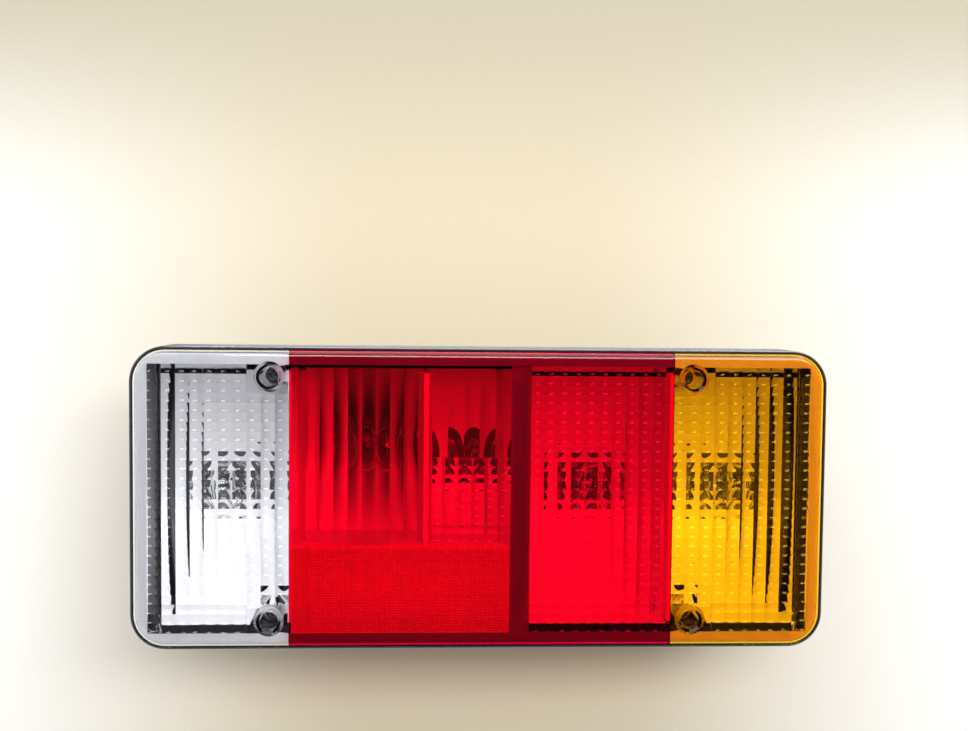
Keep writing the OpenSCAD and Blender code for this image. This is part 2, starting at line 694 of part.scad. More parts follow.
// Hollow glass envelope, a neck that widens into a ball of radius r
module bulb_glass(at, r, height) color("lightcyan", 0.4) stand() translate(at) {
    mid = contact_top + height - r;
    rotate_extrude() polygon(concat(
        [[0, glass_foot], [neck_r, glass_foot], [neck_r, cap_top + 2]],
        arc([0, mid], r, -38, 90, 10), arc([0, mid], r - glass_t, 90, -38, 10),
        [[neck_r - glass_t, cap_top + 2.4], [neck_r - glass_t, glass_foot + 1.5],
         [0, glass_foot + 1.5]]));
}

module filament(at, r, height) color("dimgray") stand() translate(at) {
    mid = contact_top + height - r;
    foot = glass_foot + 1.5;
    for (x = [-2.5, 2.5]) translate([x, 0, foot]) cylinder(h = mid - foot + 0.5, r = 0.4);
    translate([0, 0, mid]) rotate([0, 90, 0]) cylinder(h = 5.8, r = 0.8, center = true);
}

housing();
lens_clear();
lens_red();
lens_amber();
lens_gasket();
lens_screws();
mounting_studs();
connector_body();
connector_boot();
connector_blades();
reflector_tray();
tray_screws();
ground_strip();
reverse_strip();
fog_strip();
tail_strip();
stop_strip();
indicator_strip();
bulb_holder(reverse_at);  // reverse_holder
bulb_sleeve(reverse_at);  // reverse_sleeve
centre_contact(reverse_at);  // reverse_contact
bulb_cap(reverse_at);  // reverse_bulb_cap
bulb_glass(reverse_at, glass_r, bulb_h);  // reverse_bulb_glass
filament(reverse_at, glass_r, bulb_h);  // reverse_filament
bulb_holder(fog_at);  // fog_holder
bulb_sleeve(fog_at);  // fog_sleeve
centre_contact(fog_at);  // fog_contact
bulb_cap(fog_at);  // fog_bulb_cap
bulb_glass(fog_at, glass_r, bulb_h);  // fog_bulb_glass
filament(fog_at, glass_r, bulb_h);  // fog_filament
bulb_holder(tail_at);  // tail_holder
bulb_sleeve(tail_at);  // tail_sleeve
centre_contact(tail_at);  // tail_contact
bulb_cap(tail_at);  // tail_bulb_cap
bulb_glass(tail_at, small_glass_r, small_bulb_h);  // tail_bulb_glass
filament(tail_at, small_glass_r, small_bulb_h);  // tail_filament
bulb_holder(stop_at);  // stop_holder
bulb_sleeve(stop_at);  // stop_sleeve
centre_contact(stop_at);  // stop_contact
bulb_cap(stop_at);  // stop_bulb_cap
bulb_glass(stop_at, glass_r, bulb_h);  // stop_bulb_glass
filament(stop_at, glass_r, bulb_h);  // stop_filament
bulb_holder(indicator_at);  // indicator_holder
bulb_sleeve(indicator_at);  // indicator_sleeve
centre_contact(indicator_at);  // indicator_contact
bulb_cap(indicator_at);  // indicator_bulb_cap
bulb_glass(indicator_at, glass_r, bulb_h);  // indicator_bulb_glass
filament(indicator_at, glass_r, bulb_h);  // indicator_filament
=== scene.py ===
"""Tail light cluster: fine lens optics, materials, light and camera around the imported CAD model."""

import json
import math

import bmesh
import bpy
import numpy as np
from mathutils import Matrix, Vector
from mathutils.geometry import delaunay_2d_cdt


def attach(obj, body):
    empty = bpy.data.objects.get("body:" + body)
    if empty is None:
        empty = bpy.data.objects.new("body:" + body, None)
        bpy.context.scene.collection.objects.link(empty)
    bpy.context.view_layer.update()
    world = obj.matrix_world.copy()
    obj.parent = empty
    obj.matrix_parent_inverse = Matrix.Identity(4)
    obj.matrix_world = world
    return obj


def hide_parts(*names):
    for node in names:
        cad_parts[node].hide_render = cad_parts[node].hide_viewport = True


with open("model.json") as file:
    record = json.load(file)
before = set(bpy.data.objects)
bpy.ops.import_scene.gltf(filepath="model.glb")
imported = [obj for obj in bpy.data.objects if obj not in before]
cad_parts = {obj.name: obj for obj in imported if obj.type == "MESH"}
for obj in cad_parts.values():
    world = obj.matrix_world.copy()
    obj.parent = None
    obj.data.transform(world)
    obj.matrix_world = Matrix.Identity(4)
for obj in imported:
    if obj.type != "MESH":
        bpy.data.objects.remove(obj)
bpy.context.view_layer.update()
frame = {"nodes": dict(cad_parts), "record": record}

# ---------------------------------------------------------------------------
# Sizes in millimetres, in the drawing frame of part.scad: x across, y up, z out of the panel.
# They repeat part.scad's values, because this script can't read that file.
# ---------------------------------------------------------------------------
MM = 0.001
HALF_W, HALF_H = 173.0, 75.0
CORNER_R = 17.5
FACE_Z = 86.0                         # outside of the lens face
INNER_Z = 83.5                        # inside of the lens face
LENS_FOOT, FOOT_BEVEL = 70.0, 0.3     # lower edge of the lens wall
EDGE_R, INNER_EDGE_R = 5.0, 2.5       # rounding of the lens face, outside and inside
TONGUE_OUT, TONGUE_IN = 2.5, 4.5      # insets of the tongue's two sides
TONGUE_END = 58.4
SHOULDER = ((4.5, 2.6), (4.1, 3.0), (3.0, 3.6))  # tongue to wall: inset, height above the foot

WELL_X, WELL_Y = 105.0, 60.5
WELL_R = 4.6
MOUTH_R, MOUTH_MID_R, MOUTH_MID_DEPTH, MOUTH_DEPTH = 6.0, 4.8, 1.2, 1.8
WELL_BOTTOM, WELL_FOOT = 64.0, 61.5
SCREW_HOLE_R = 2.25
BOSS_FOOT_R, BOSS_TOP_R, BOSS_GAP = 6.2, 7.575, 0.5

COLOUR_X = 95.0                       # where the colours change
FIELD_X, FIELD_Y = 164.0, 66.5        # outline of all fields of optics
FIELD_GAP = 0.1                       # between neighbouring fields, on each side of a border
PAD = 0.3                             # thickness of the pad the optics stand on
RED_LEFT, TAIL_LEFT, SLOT_LEFT = -94.0, -25.0, 14.0
SLOT_RIGHT, STOP_RIGHT = 24.0, 91.0
TAIL_TOP, UPPER_FOOT = 21.0, -21.0    # border of flutes and pillows, lower edge of the upper fields
REFLEX_LEFT, REFLEX_TOP = -85.0, -22.5

TRAY_X, TRAY_Y, TRAY_EDGE_T = 160.0, 62.0, 1.0
TRAY_EDGE_LOW, TRAY_EDGE_HIGH = 50.5, 80.5
PAST_WELL, PAST_STOP = 114.5, 93.5    # where the tray's lower edge is broken

STUD_X, STUD_Y, STUD_R, STUD_L = 110.0, 35.0, 3.0, 28.0
STUD_BEVEL = 0.8
STUD_RECESS, STUD_SHOULDER_R = 1.0, 3.6
STUD_SEAT, STUD_HEAD_R, STUD_HEAD_H, STUD_FLAT = 4.0, 8.0, 3.0, 6.4
THREAD_PITCH, THREAD_DEPTH, THREAD_FADE, UNTHREADED = 1.0, 0.55, 1.5, 1.5
AXIS_R = 0.01                         # stands for a point on the axis

CONNECTOR_L = 35.0                    # how far the connector reaches behind the panel

# How finely curves are drawn
ROUND_STEPS, CORNER_STEPS, EDGE_STEPS, INNER_EDGE_STEPS = 48, 14, 12, 10
STUD_STEPS, PITCH_STEPS = 28, 6
RIM_ROWS = 4                          # rows of the lens section that carry the frosted finish

LEVEL_TOLERANCE = 1e-6                # millimetres
FILL_TOLERANCE = 1e-5                 # millimetres
WELD_DISTANCE = 2e-6                  # metres

# Material slots of a lens mesh
POLISHED, FROSTED, RED_RIM = 0, 1, 2


def srgb(r, g, b):
    """A colour read as 8-bit sRGB, as the linear RGBA that shaders take."""
    def linear(c):
        c /= 255
        return c / 12.92 if c <= 0.04045 else ((c + 0.055) / 1.055) ** 2.4
    return (linear(r), linear(g), linear(b), 1.0)


# ---------------------------------------------------------------------------
# Node trees
# ---------------------------------------------------------------------------
class Nodes:
    """A node tree. Its helpers take sockets or constants, and return sockets."""

    def __init__(self, tree):
        self.tree = tree

    def add(self, kind, **settings):
        node = self.tree.nodes.new("ShaderNode" + kind)
        for key, value in settings.items():
            setattr(node, key, value)
        return node

    def feed(self, socket, value):
        """Links a socket to an input, or writes a constant into it."""
        if isinstance(value, bpy.types.NodeSocket):
            self.tree.links.new(value, socket)
        else:
            socket.default_value = value

    def smooth_step(self, source, low, high):
        """Rises smoothly from 0 at low to 1 at high."""
        node = self.add("MapRange", interpolation_type="SMOOTHSTEP")
        self.feed(node.inputs["From Min"], low)
        self.feed(node.inputs["From Max"], high)
        self.feed(node.inputs["Value"], source)
        return node.outputs["Result"]

    def mix(self, factor, first, second):
        """Mixes two colours."""
        node = self.add("MixRGB")
        self.feed(node.inputs["Color1"], first)
        self.feed(node.inputs["Color2"], second)
        self.feed(node.inputs["Fac"], factor)
        return node.outputs[0]


class Shader(Nodes):
    """A material with a Principled shader and a few helpers for procedural detail."""

    def __init__(self, name, **values):
        self.material = bpy.data.materials.new(name)
        self.material.use_nodes = True
        super().__init__(self.material.node_tree)
        self.tree.nodes.clear()
        self.output = self.add("OutputMaterial")
        self.bsdf = self.add("BsdfPrincipled")
        for key, value in values.items():
            self.feed(self.bsdf.inputs[key.replace("_", " ")], value)
        self.feed(self.output.inputs["Surface"], self.bsdf.outputs[0])
        self.place = self.add("TexCoord").outputs["Object"]

    def noise(self, scale, detail=2.0, stretch=(1, 1, 1)):
        """Noise of about 1/scale metres, from 0 to 1."""
        mapping = self.add("Mapping")
        self.feed(mapping.inputs["Scale"], stretch)
        self.feed(mapping.inputs["Vector"], self.place)
        node = self.add("TexNoise")
        self.feed(node.inputs["Scale"], scale)
        self.feed(node.inputs["Detail"], detail)
        self.feed(node.inputs["Vector"], mapping.outputs[0])
        return node.outputs["Fac"]

    def distance(self, centre, half_w, half_h):
        """Distance from a centre (x, z) in metres, as a multiple of an ellipse's radius."""
        mapping = self.add("Mapping")
        self.feed(mapping.inputs["Scale"], (1 / half_w, 0, 1 / half_h))
        self.feed(mapping.inputs["Location"], (-centre[0] / half_w, 0, -centre[1] / half_h))
        self.feed(mapping.inputs["Vector"], self.place)
        node = self.add("VectorMath", operation="LENGTH")
        self.feed(node.inputs[0], mapping.outputs[0])
        return node.outputs["Value"]

    def vary_colour(self, factor, first, second):
        self.feed(self.bsdf.inputs["Base Color"], self.mix(factor, first, second))

    def vary_roughness(self, noise, low, high):
        """Maps the middle of a noise to roughness from low to high."""
        node = self.add("MapRange")
        self.feed(node.inputs["From Min"], 0.3)
        self.feed(node.inputs["From Max"], 0.7)
        self.feed(node.inputs["To Min"], low)
        self.feed(node.inputs["To Max"], high)
        self.feed(node.inputs["Value"], noise)
        self.feed(self.bsdf.inputs["Roughness"], node.outputs["Result"])

    def bump(self, height, distance, strength=1.0):
        node = self.add("Bump")
        self.feed(node.inputs["Strength"], strength)
        self.feed(node.inputs["Distance"], distance)
        self.feed(node.inputs["Height"], height)
        self.feed(self.bsdf.inputs["Normal"], node.outputs["Normal"])

    def let_through(self, factor, tint=(1, 1, 1, 1)):
        """Makes the surface transparent, in a tint, where the factor is 1."""
        clear = self.add("BsdfTransparent")
        self.feed(clear.inputs["Color"], tint)
        mix = self.add("MixShader")
        self.feed(mix.inputs["Fac"], factor)
        self.feed(mix.inputs[1], self.bsdf.outputs[0])
        self.feed(mix.inputs[2], clear.outputs[0])
        self.feed(self.output.inputs["Surface"], mix.outputs[0])

    def pass_lamps(self, tint):
        """Lets lamps shine in through the piece, tinted, instead of casting a black shadow."""
        self.let_through(self.add("LightPath").outputs["Is Shadow Ray"], tint)


# ---------------------------------------------------------------------------
# Materials. Noise scales are per metre, and bump distances are in metres.
# ---------------------------------------------------------------------------
ACRYLIC_IOR = 1.49


def lens_plastic(name, tint):
    """Clear moulded plastic. Light crosses two surfaces, and each takes half the tint."""
    shader = Shader(name, Base_Color=(*tint, 1), Transmission_Weight=1.0, IOR=ACRYLIC_IOR,
                    Roughness=0.04)
    shader.bump(shader.noise(55, 1.0), 0.0002, 0.25)
    shader.pass_lamps((*(math.sqrt(c) for c in tint), 1))
    return shader.material


def frosted_rim(name, tint):
    """The lens rim's stippled inside: it scatters light instead of showing the black housing."""
    darker = (*(0.8 * c for c in tint[:3]), 1)
    shader = Shader(name, Transmission_Weight=0.45, IOR=ACRYLIC_IOR, Roughness=0.5)
    shader.vary_colour(shader.noise(220, 3, (1, 1, 0.3)), tint, darker)
    shader.bump(shader.noise(900, 2), 0.0001)
    shader.pass_lamps(tint)
    return shader.material


def moulded(name, dark, light, rough, grain=2500, depth=0.00002):
    """Dark moulded plastic or rubber: slight cloudiness, fine grain and uneven gloss."""
    shader = Shader(name, Roughness=sum(rough) / 2)
    shader.vary_colour(shader.noise(35, 3), dark, light)
    shader.vary_roughness(shader.noise(60, 4), *rough)
    shader.bump(shader.noise(grain, 2), depth)
    return shader.material


def metal(name, dark, light, rough):
    """Plated or bare metal with slight unevenness."""
    shader = Shader(name, Metallic=1.0)
    shader.vary_colour(shader.noise(300, 3), dark, light)
    shader.vary_roughness(shader.noise(400, 4), *rough)
    shader.bump(shader.noise(1800, 2), 0.000015)
    return shader.material


def tray_with_painted_shade():
    """Reflector with a satin bright skin and painted shade: dark round the fog bulb, where its cavity
    lies in shade.
    """
    shader = Shader("tray_plastic", Metallic=0.1)
    # Painted shade: dark grey round the fog bulb, fading out to the reflector's pale colour.
    from_bulb = shader.distance(centre=(-0.0590, 0.024), half_w=0.0125, half_h=0.025)
    shader.vary_colour(shader.smooth_step(from_bulb, 0.6, 2.4), srgb(46, 46, 48),
                       srgb(232, 233, 236))
    shader.vary_roughness(shader.noise(90, 4), 0.34, 0.44)
    shader.bump(shader.noise(900, 2), 0.00002)
    return shader.material


def bulb_glass():
    shader = Shader("bulb_glass", Base_Color=(0.96, 0.97, 0.97, 1), Transmission_Weight=1.0,
                    IOR=1.5, Roughness=0.0)
    shader.bump(shader.noise(90, 1), 0.0002, 0.2)
    shader.pass_lamps((0.98, 0.985, 0.985, 1))
    return shader.material


# Linear colour that remains after both surfaces of the lens
TINTS = {
    "clear_lens": (0.96, 0.96, 0.975),
    "red_lens": (0.94, 0.001, 0.11),
    "amber_lens": (0.995, 0.655, 0.05),
}
# Darkest and lightest colour, range of roughness, then grain and its depth where they are coarser
PLASTICS = {
    "housing_plastic": (srgb(20, 21, 23), srgb(28, 29, 32), (0.30, 0.42)),
    "connector_plastic": (srgb(18, 20, 24), srgb(28, 30, 34), (0.22, 0.34)),
    "holder_plastic": (srgb(60, 62, 68), srgb(78, 80, 88), (0.34, 0.46)),
    "boot_rubber": (srgb(14, 14, 15), srgb(24, 24, 25), (0.46, 0.62), 1200, 0.00004),
    "gasket_rubber": (srgb(30, 30, 31), srgb(42, 42, 43), (0.60, 0.80), 1500, 0.00005),
}
METALS = {
    "zinc_steel": (srgb(196, 200, 204), srgb(236, 238, 240), (0.20, 0.38)),
    "black_steel": (srgb(44, 45, 48), srgb(70, 71, 74), (0.30, 0.48)),
    "plated_steel": (srgb(180, 180, 176), srgb(216, 216, 212), (0.18, 0.36)),
    "brass_strip": (srgb(196, 160, 84), srgb(222, 188, 110), (0.24, 0.42)),
    "filament_wire": (srgb(60, 60, 62), srgb(96, 96, 98), (0.35, 0.5)),
}
FINISHES = {
    **{name: lens_plastic(name, tint) for name, tint in TINTS.items()},
    **{name: moulded(name, *look) for name, look in PLASTICS.items()},
    **{name: metal(name, *look) for name, look in METALS.items()},
    "tray_plastic": tray_with_painted_shade(),
    "bulb_glass": bulb_glass(),
}
# Further material slots of each lens, after its polished plastic
RIMS = {
    "clear_lens": [frosted_rim("clear_rim", srgb(238, 240, 246))],
    "red_lens": [frosted_rim("red_reflex", srgb(250, 9, 42)),
                 frosted_rim("red_rim", srgb(122, 4, 18))],
    "amber_lens": [frosted_rim("amber_rim", srgb(254, 170, 104))],
}


def dress_nodes():
    """Gives every CAD node the procedural finish of its material slot."""
    for part in frame["record"]["subparts"]:
        for material_slot in frame["nodes"][part["node"]].material_slots:
            material_slot.material = FINISHES[part["material_slot"]]


# ---------------------------------------------------------------------------
# Mesh helpers
# ---------------------------------------------------------------------------
def arc(cx, cy, r, a0, a1, n):
    """Points on an arc from angle a0 to a1, in degrees."""
    return [(cx + r * math.cos(math.radians(a0 + (a1 - a0) * i / n)),
             cy + r * math.sin(math.radians(a0 + (a1 - a0) * i / n))) for i in range(n + 1)]


def turns(steps):
    """Angles of a full turn, in radians."""
    return [2 * math.pi * i / steps for i in range(steps)]


def circle(centre, r):
    return [(centre[0] + r * math.cos(a), centre[1] + r * math.sin(a))
            for a in turns(ROUND_STEPS)]


class Sheet:
    """Collects faces in the drawing frame, and stands them up as one piece of the lamp."""

    def __init__(self):
        self.points, self.faces, self.finishes = [], [], []

    def paint(self, finish):
        """Gives all faces that have none yet this material slot."""
        self.finishes += [finish] * (len(self.faces) - len(self.finishes))

    def paint_border(self, half_x, half_y, finish):
        """Like paint, with the finish outside the rectangle and polished plastic inside it."""
        for face in self.faces[len(self.finishes):]:
            x, y = (abs(sum(self.points[i][k] for i in face)) / len(face) for k in (0, 1))
            self.finishes.append(finish if x > half_x or y > half_y else POLISHED)

    def face(self, points):
        start = len(self.points)
        self.points += points
        self.faces.append(tuple(range(start, len(self.points))))

    def grid(self, rows, closed=False):
        """Quads between neighbouring rows of points, which all have the same length."""
        start, n = len(self.points), len(rows[0])
        for row in rows:
            self.points.extend(row)
        for r in range(len(rows) - 1):
            for i in range(n if closed else n - 1):
                a, b = start + r * n + i, start + r * n + (i + 1) % n
                self.faces.append((a, b, b + n, a + n))

    def flat(self, loops, lift):
        """Fills the plane region between closed loops of 2D points. The first is the outline."""
        verts, rings = [], []
        for loop in loops:
            rings.append(tuple(range(len(verts), len(verts) + len(loop))))
            verts += [Vector(p) for p in loop]
        without_holes = 2
        found, _, faces, *_ = delaunay_2d_cdt(verts, [], rings, without_holes, FILL_TOLERANCE)
        start = len(self.points)
        self.points += [lift(p.x, p.y) for p in found]
        self.faces += [tuple(start + i for i in f) for f in faces]

    def box(self, low, high):
        start = len(self.points)
        self.points += [(x, y, z) for x in (low[0], high[0]) for y in (low[1], high[1])
                        for z in (low[2], high[2])]
        self.faces += [tuple(start + i for i in face) for face in (
            (0, 1, 3, 2), (4, 6, 7, 5), (0, 4, 5, 1), (2, 3, 7, 6), (0, 2, 6, 4), (1, 5, 7, 3))]

    def revolve(self, profile, centre):
        """Turns a profile of (radius, height) about an upright axis."""
        self.grid([[(x, y, z) for x, y in circle(centre, r)] for r, z in profile], closed=True)

    def piece(self, name, slot, nodes=(), sharp=30.0):
        """Welds the faces into one mesh and makes it a piece, with edges sharp from that angle."""
        mesh = bpy.data.meshes.new(name)
        mesh.from_pydata([(x * MM, -z * MM, y * MM) for x, y, z in self.points], [], self.faces)
        self.paint(POLISHED)
        mesh.polygons.foreach_set("material_index", self.finishes)
        bm = bmesh.new()
        bm.from_mesh(mesh)
        bmesh.ops.remove_doubles(bm, verts=bm.verts, dist=WELD_DISTANCE)
        bmesh.ops.recalc_face_normals(bm, faces=bm.faces)
        bm.to_mesh(mesh)
        bm.free()
        mesh.shade_smooth()
        mesh.set_sharp_from_angle(angle=math.radians(sharp))
        for material in [FINISHES[slot]] + RIMS.get(slot, []):
            mesh.materials.append(material)
        obj = bpy.data.objects.new(name, mesh)
        bpy.context.scene.collection.objects.link(obj)
        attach(obj, "root")
        if nodes:
            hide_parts(*nodes)


# ---------------------------------------------------------------------------
# Fields of optics
# ---------------------------------------------------------------------------
def pillow(across, upright):
    return lambda u, v: across * (1 - u * u) + upright * (1 - v * v)


def flute(height):
    return lambda u, v: height * (1 - u * u)


def prism(height):
    return lambda u, v: height * (1 - max(abs(u), abs(v)))


def chains(edges):
    """Joins directed edges into closed loops of their start points."""
    after = {}
    for a, b in edges:
        after.setdefault(a, []).append(b)
    loops = []
    while after:
        start = next(iter(after))
        loop, at = [], start
        while True:
            loop.append(at)
            following = after[at].pop()
            if not after[at]:
                del after[at]
            at = following
            if at == start:
                break
        loops.append(loop)
    return loops


class Optics:
    """A field of moulded optics on the inside of the lens face, as a height over a grid.

    The height is a function of u and v, which run from -1 to 1 across and up a cell. Leans gives
    the u of the crest for each column that has it off the middle.
    """

    def __init__(self, low, high, cells, steps, height, finish=POLISHED, leans=()):
        self.cells, self.steps, self.height, self.finish = cells, steps, height, finish
        self.leans = dict(leans)
        self.axes = [np.linspace(low[k], high[k], cells[k] * steps[k] + 1) for k in (0, 1)]

    def build(self, sheet, wells):
        """Adds the field and its border, and returns the border's loops on the face."""
        faces = []
        for c in range(self.cells[0]):
            for r in range(self.cells[1]):
                if self.near_well(c, r, wells):
                    continue
                for i in range(self.steps[0]):
                    for j in range(self.steps[1]):
                        a, b = c * self.steps[0] + i, r * self.steps[1] + j
                        faces.append((c, ((a, b), (a + 1, b), (a + 1, b + 1), (a, b + 1))))
        edges = {}
        for column, keys in faces:
            for k in range(4):
                edges[(keys[k], keys[(k + 1) % 4])] = column
        border = {e: True for e in edges if (e[1], e[0]) not in edges}
        for column, keys in faces:
            sheet.face([self.point(key, column) for key in keys])
        self.close_steps(sheet, edges, border)
        return [[(self.axes[0][a], self.axes[1][b]) for a, b in loop] for loop in chains(border)]

    def close_steps(self, sheet, edges, border):
        """Adds the upright faces at the border, and between columns that lean differently."""
        for (a, b), column in edges.items():
            if (a, b) in border:
                near, far = self.upright(a, column), self.upright(b, column)
            elif a[0] == b[0] == column * self.steps[0]:
                near, far = ([self.point(key, c) for c in (column, column - 1)]
                             for key in (a, b))
                if abs(near[0][2] - near[1][2]) < LEVEL_TOLERANCE:
                    continue
            else:
                continue
            sheet.face(near[:1] + far + near[:0:-1])

    def upright(self, key, column):
        """Points from a cell up to the lens face, with the level of the column beside it."""
        x, y, z = self.point(key, column)
        levels = [z]
        if key[0] % self.steps[0] == 0:
            beside = key[0] // self.steps[0] - (key[0] == column * self.steps[0])
            level = self.point(key, beside)[2]
            if z + LEVEL_TOLERANCE < level:
                levels.append(level)
        return [(x, y, level) for level in levels + [INNER_Z]]

    def near_well(self, c, r, wells):
        """True if the cell comes within the boss of a screw well."""
        (x0, x1), (y0, y1) = ([axis[cell * steps], axis[(cell + 1) * steps]]
                              for axis, cell, steps in zip(self.axes, (c, r), self.steps))
        return any(math.hypot(max(x0 - x, 0, x - x1), max(y0 - y, 0, y - y1))
                   < BOSS_TOP_R + BOSS_GAP for x, y in wells)

    def point(self, key, column):
        """A grid point as its column has it."""
        u = 2 * (key[0] / self.steps[0] - column) - 1
        v = 2 * (key[1] % self.steps[1]) / self.steps[1] - 1
        u0 = self.leans.get(column, 0)
        rise = self.height(u - u0, v) - self.height(1 + abs(u0), 1)
        return self.axes[0][key[0]], self.axes[1][key[1]], INNER_Z - PAD - rise


def end_field(side):
    """Pillows of the clear end, side -1, or the amber end. Its outer three columns lean."""
    columns = 10
    low, high = sorted((side * (COLOUR_X + 0.15), side * FIELD_X))
    outer = 0 if side < 0 else columns - 1
    leans = {outer: side * 0.5, outer - side: side * -0.2, outer - 2 * side: side * -0.2}
    return Optics((low, -FIELD_Y), (high, FIELD_Y), (columns, 28), (10, 6), pillow(0.85, 0.32),
                  leans=leans)


def red_fields():
    """Stop lamp, fog lamp, upper and lower tail lamp, reflex field, its edge, and the slot."""
    gap = FIELD_GAP
    return [
        Optics((SLOT_RIGHT, -FIELD_Y), (STOP_RIGHT, FIELD_Y), (10, 28), (10, 6),
               pillow(0.80, 0.30)),
        Optics((RED_LEFT, UPPER_FOOT), (TAIL_LEFT - gap, FIELD_Y), (10, 1), (14, 24),
               flute(1.0)),
        Optics((TAIL_LEFT + gap, TAIL_TOP + gap), (SLOT_LEFT, FIELD_Y), (5, 1), (14, 12),
               flute(0.8)),
        Optics((TAIL_LEFT + gap, UPPER_FOOT), (SLOT_LEFT, TAIL_TOP - gap), (6, 10), (10, 6),
               pillow(0.85, 0.28)),
        Optics((REFLEX_LEFT, -FIELD_Y), (SLOT_LEFT, REFLEX_TOP), (79, 35), (2, 2),
               prism(0.40), FROSTED),
        Optics((RED_LEFT, -FIELD_Y), (REFLEX_LEFT - gap, REFLEX_TOP), (1, 1), (14, 24),
               flute(0.60), FROSTED),
        Optics((SLOT_LEFT + gap, -FIELD_Y), (SLOT_RIGHT - gap, FIELD_Y), (1, 1), (14, 24),
               flute(0.95), RED_RIM),
    ]


# ---------------------------------------------------------------------------
# Lens cover
# ---------------------------------------------------------------------------
def lens_section():
    """Section of the lens wall as (inset, height), from the face's outer edge to its inner one."""
    return (arc(EDGE_R, FACE_Z - EDGE_R, EDGE_R, 90, 180, EDGE_STEPS)
            + [(0, LENS_FOOT + FOOT_BEVEL), (FOOT_BEVEL, LENS_FOOT), (TONGUE_OUT, LENS_FOOT),
               (TONGUE_OUT, TONGUE_END), (TONGUE_IN, TONGUE_END)]
            + [(inset, LENS_FOOT + height) for inset, height in SHOULDER]
            + arc(EDGE_R, FACE_Z - EDGE_R, INNER_EDGE_R, 180, 90, INNER_EDGE_STEPS))


def stations(left, right):
    """Runs of (corner centre, direction) along the outline between two cuts across the lamp."""
    cx, cy = HALF_W - CORNER_R, HALF_H - CORNER_R

    def corner(sx, sy, a0):
        return [((sx * cx, sy * cy), a0 + 90 * i / CORNER_STEPS) for i in range(CORNER_STEPS + 1)]
    if left < -cx:
        return [[((right, cy), 90)] + corner(-1, 1, 90) + corner(-1, -1, 180)
                + [((right, -cy), 270)]]
    if right > cx:
        return [[((left, -cy), 270)] + corner(1, -1, 270) + corner(1, 1, 0) + [((left, cy), 90)]]
    return [[((right, cy), 90), ((left, cy), 90)], [((left, -cy), 270), ((right, -cy), 270)]]


def on_outline(station, inset):
    (cx, cy), angle = station
    r = CORNER_R - inset
    return cx + r * math.cos(math.radians(angle)), cy + r * math.sin(math.radians(angle))


def lens(name, slot, node, left, right, fields, wells=(), rim_finish=FROSTED):
    """One colour of the lens cover, as a closed mesh between two cuts across the lamp."""
    sheet = Sheet()
    section = lens_section()
    runs = stations(left, right)
    for run in runs:
        rows = [[(*on_outline(s, inset), z) for s in run] for inset, z in section]
        sheet.grid(rows[:-RIM_ROWS])
        sheet.paint(POLISHED)
        sheet.grid(rows[-RIM_ROWS - 1:])
        sheet.paint(rim_finish)
    for well in wells:
        sheet.revolve([(MOUTH_R, FACE_Z), (MOUTH_MID_R, FACE_Z - MOUTH_MID_DEPTH),
                       (WELL_R, FACE_Z - MOUTH_DEPTH), (WELL_R, WELL_BOTTOM),
                       (SCREW_HOLE_R, WELL_BOTTOM), (SCREW_HOLE_R, WELL_FOOT),
                       (BOSS_FOOT_R, WELL_FOOT), (BOSS_TOP_R, INNER_Z)], well)
    outer_rim = [on_outline(s, EDGE_R) for run in runs for s in run]
    sheet.flat([outer_rim] + [circle(well, MOUTH_R) for well in wells],
               lambda x, y: (x, y, FACE_Z))
    sheet.paint(POLISHED)
    borders = []
    for field in fields:
        borders += field.build(sheet, wells)
        sheet.paint(field.finish)
    inner_rim = []
    for run in runs:
        inner_rim += [on_outline(s, EDGE_R) for s in run]
        x, y = inner_rim[-1]
        inner_rim += [(x, math.copysign(FIELD_Y, y)), (x, -math.copysign(FIELD_Y, y))]
    sheet.flat([inner_rim] + [circle(well, BOSS_TOP_R) for well in wells] + borders,
               lambda x, y: (x, y, INNER_Z))
    sheet.paint_border(FIELD_X, FIELD_Y, rim_finish)
    for cut in (left, right):
        if abs(cut) < HALF_W:
            top = [(HALF_H - inset, z) for inset, z in section] + [(FIELD_Y, INNER_Z)]
            bottom = [(-y, z) for y, z in reversed(top)]
            sheet.flat([top + bottom], lambda y, z, x=cut: (x, y, z))
    sheet.piece(name, slot, [node], sharp=11)


lens("lens_clear_fine", "clear_lens", "lens_clear", -HALF_W, -COLOUR_X, [end_field(-1)],
     [(-WELL_X, -WELL_Y), (-WELL_X, WELL_Y)])
lens("lens_amber_fine", "amber_lens", "lens_amber", COLOUR_X, HALF_W, [end_field(1)],
     [(WELL_X, -WELL_Y), (WELL_X, WELL_Y)])
lens("lens_red_fine", "red_lens", "lens_red", -COLOUR_X, COLOUR_X, red_fields(),
     rim_finish=RED_RIM)


# ---------------------------------------------------------------------------
# Tray's lower edge, and studs with their rolled threads
# ---------------------------------------------------------------------------
def tray_edge():
    """Upright lower edge of the tray, at which the lowest rows of the optics look."""
    sheet = Sheet()
    for left, right in ((-TRAY_X, -PAST_WELL), (SLOT_RIGHT, PAST_STOP), (PAST_WELL, TRAY_X)):
        sheet.box((left, -TRAY_Y - TRAY_EDGE_T, TRAY_EDGE_LOW), (right, -TRAY_Y, TRAY_EDGE_HIGH))
    sheet.piece("tray_lower_edge", "tray_plastic")


def thread_row(x, y, z, low, high):
    """Points round the thread at one height. The thread fades out towards both ends."""
    fade = max(0, min(1, (z - low) / THREAD_FADE, (high - z) / THREAD_FADE))
    row = []
    for k, a in enumerate(turns(STUD_STEPS)):
        phase = (z / THREAD_PITCH - k / STUD_STEPS) % 1
        r = STUD_R - max(0, 1 - 2 * abs(phase - 0.5)) * THREAD_DEPTH * fade
        row.append((x + r * math.cos(a), y + r * math.sin(a), z))
    return row


def flatted_row(x, y, z, r):
    """Points round a stud at one height, cut off at the flats of its head."""
    return [(x + r * math.cos(a), y + max(-STUD_FLAT, min(STUD_FLAT, r * math.sin(a))), z)
            for a in turns(STUD_STEPS)]


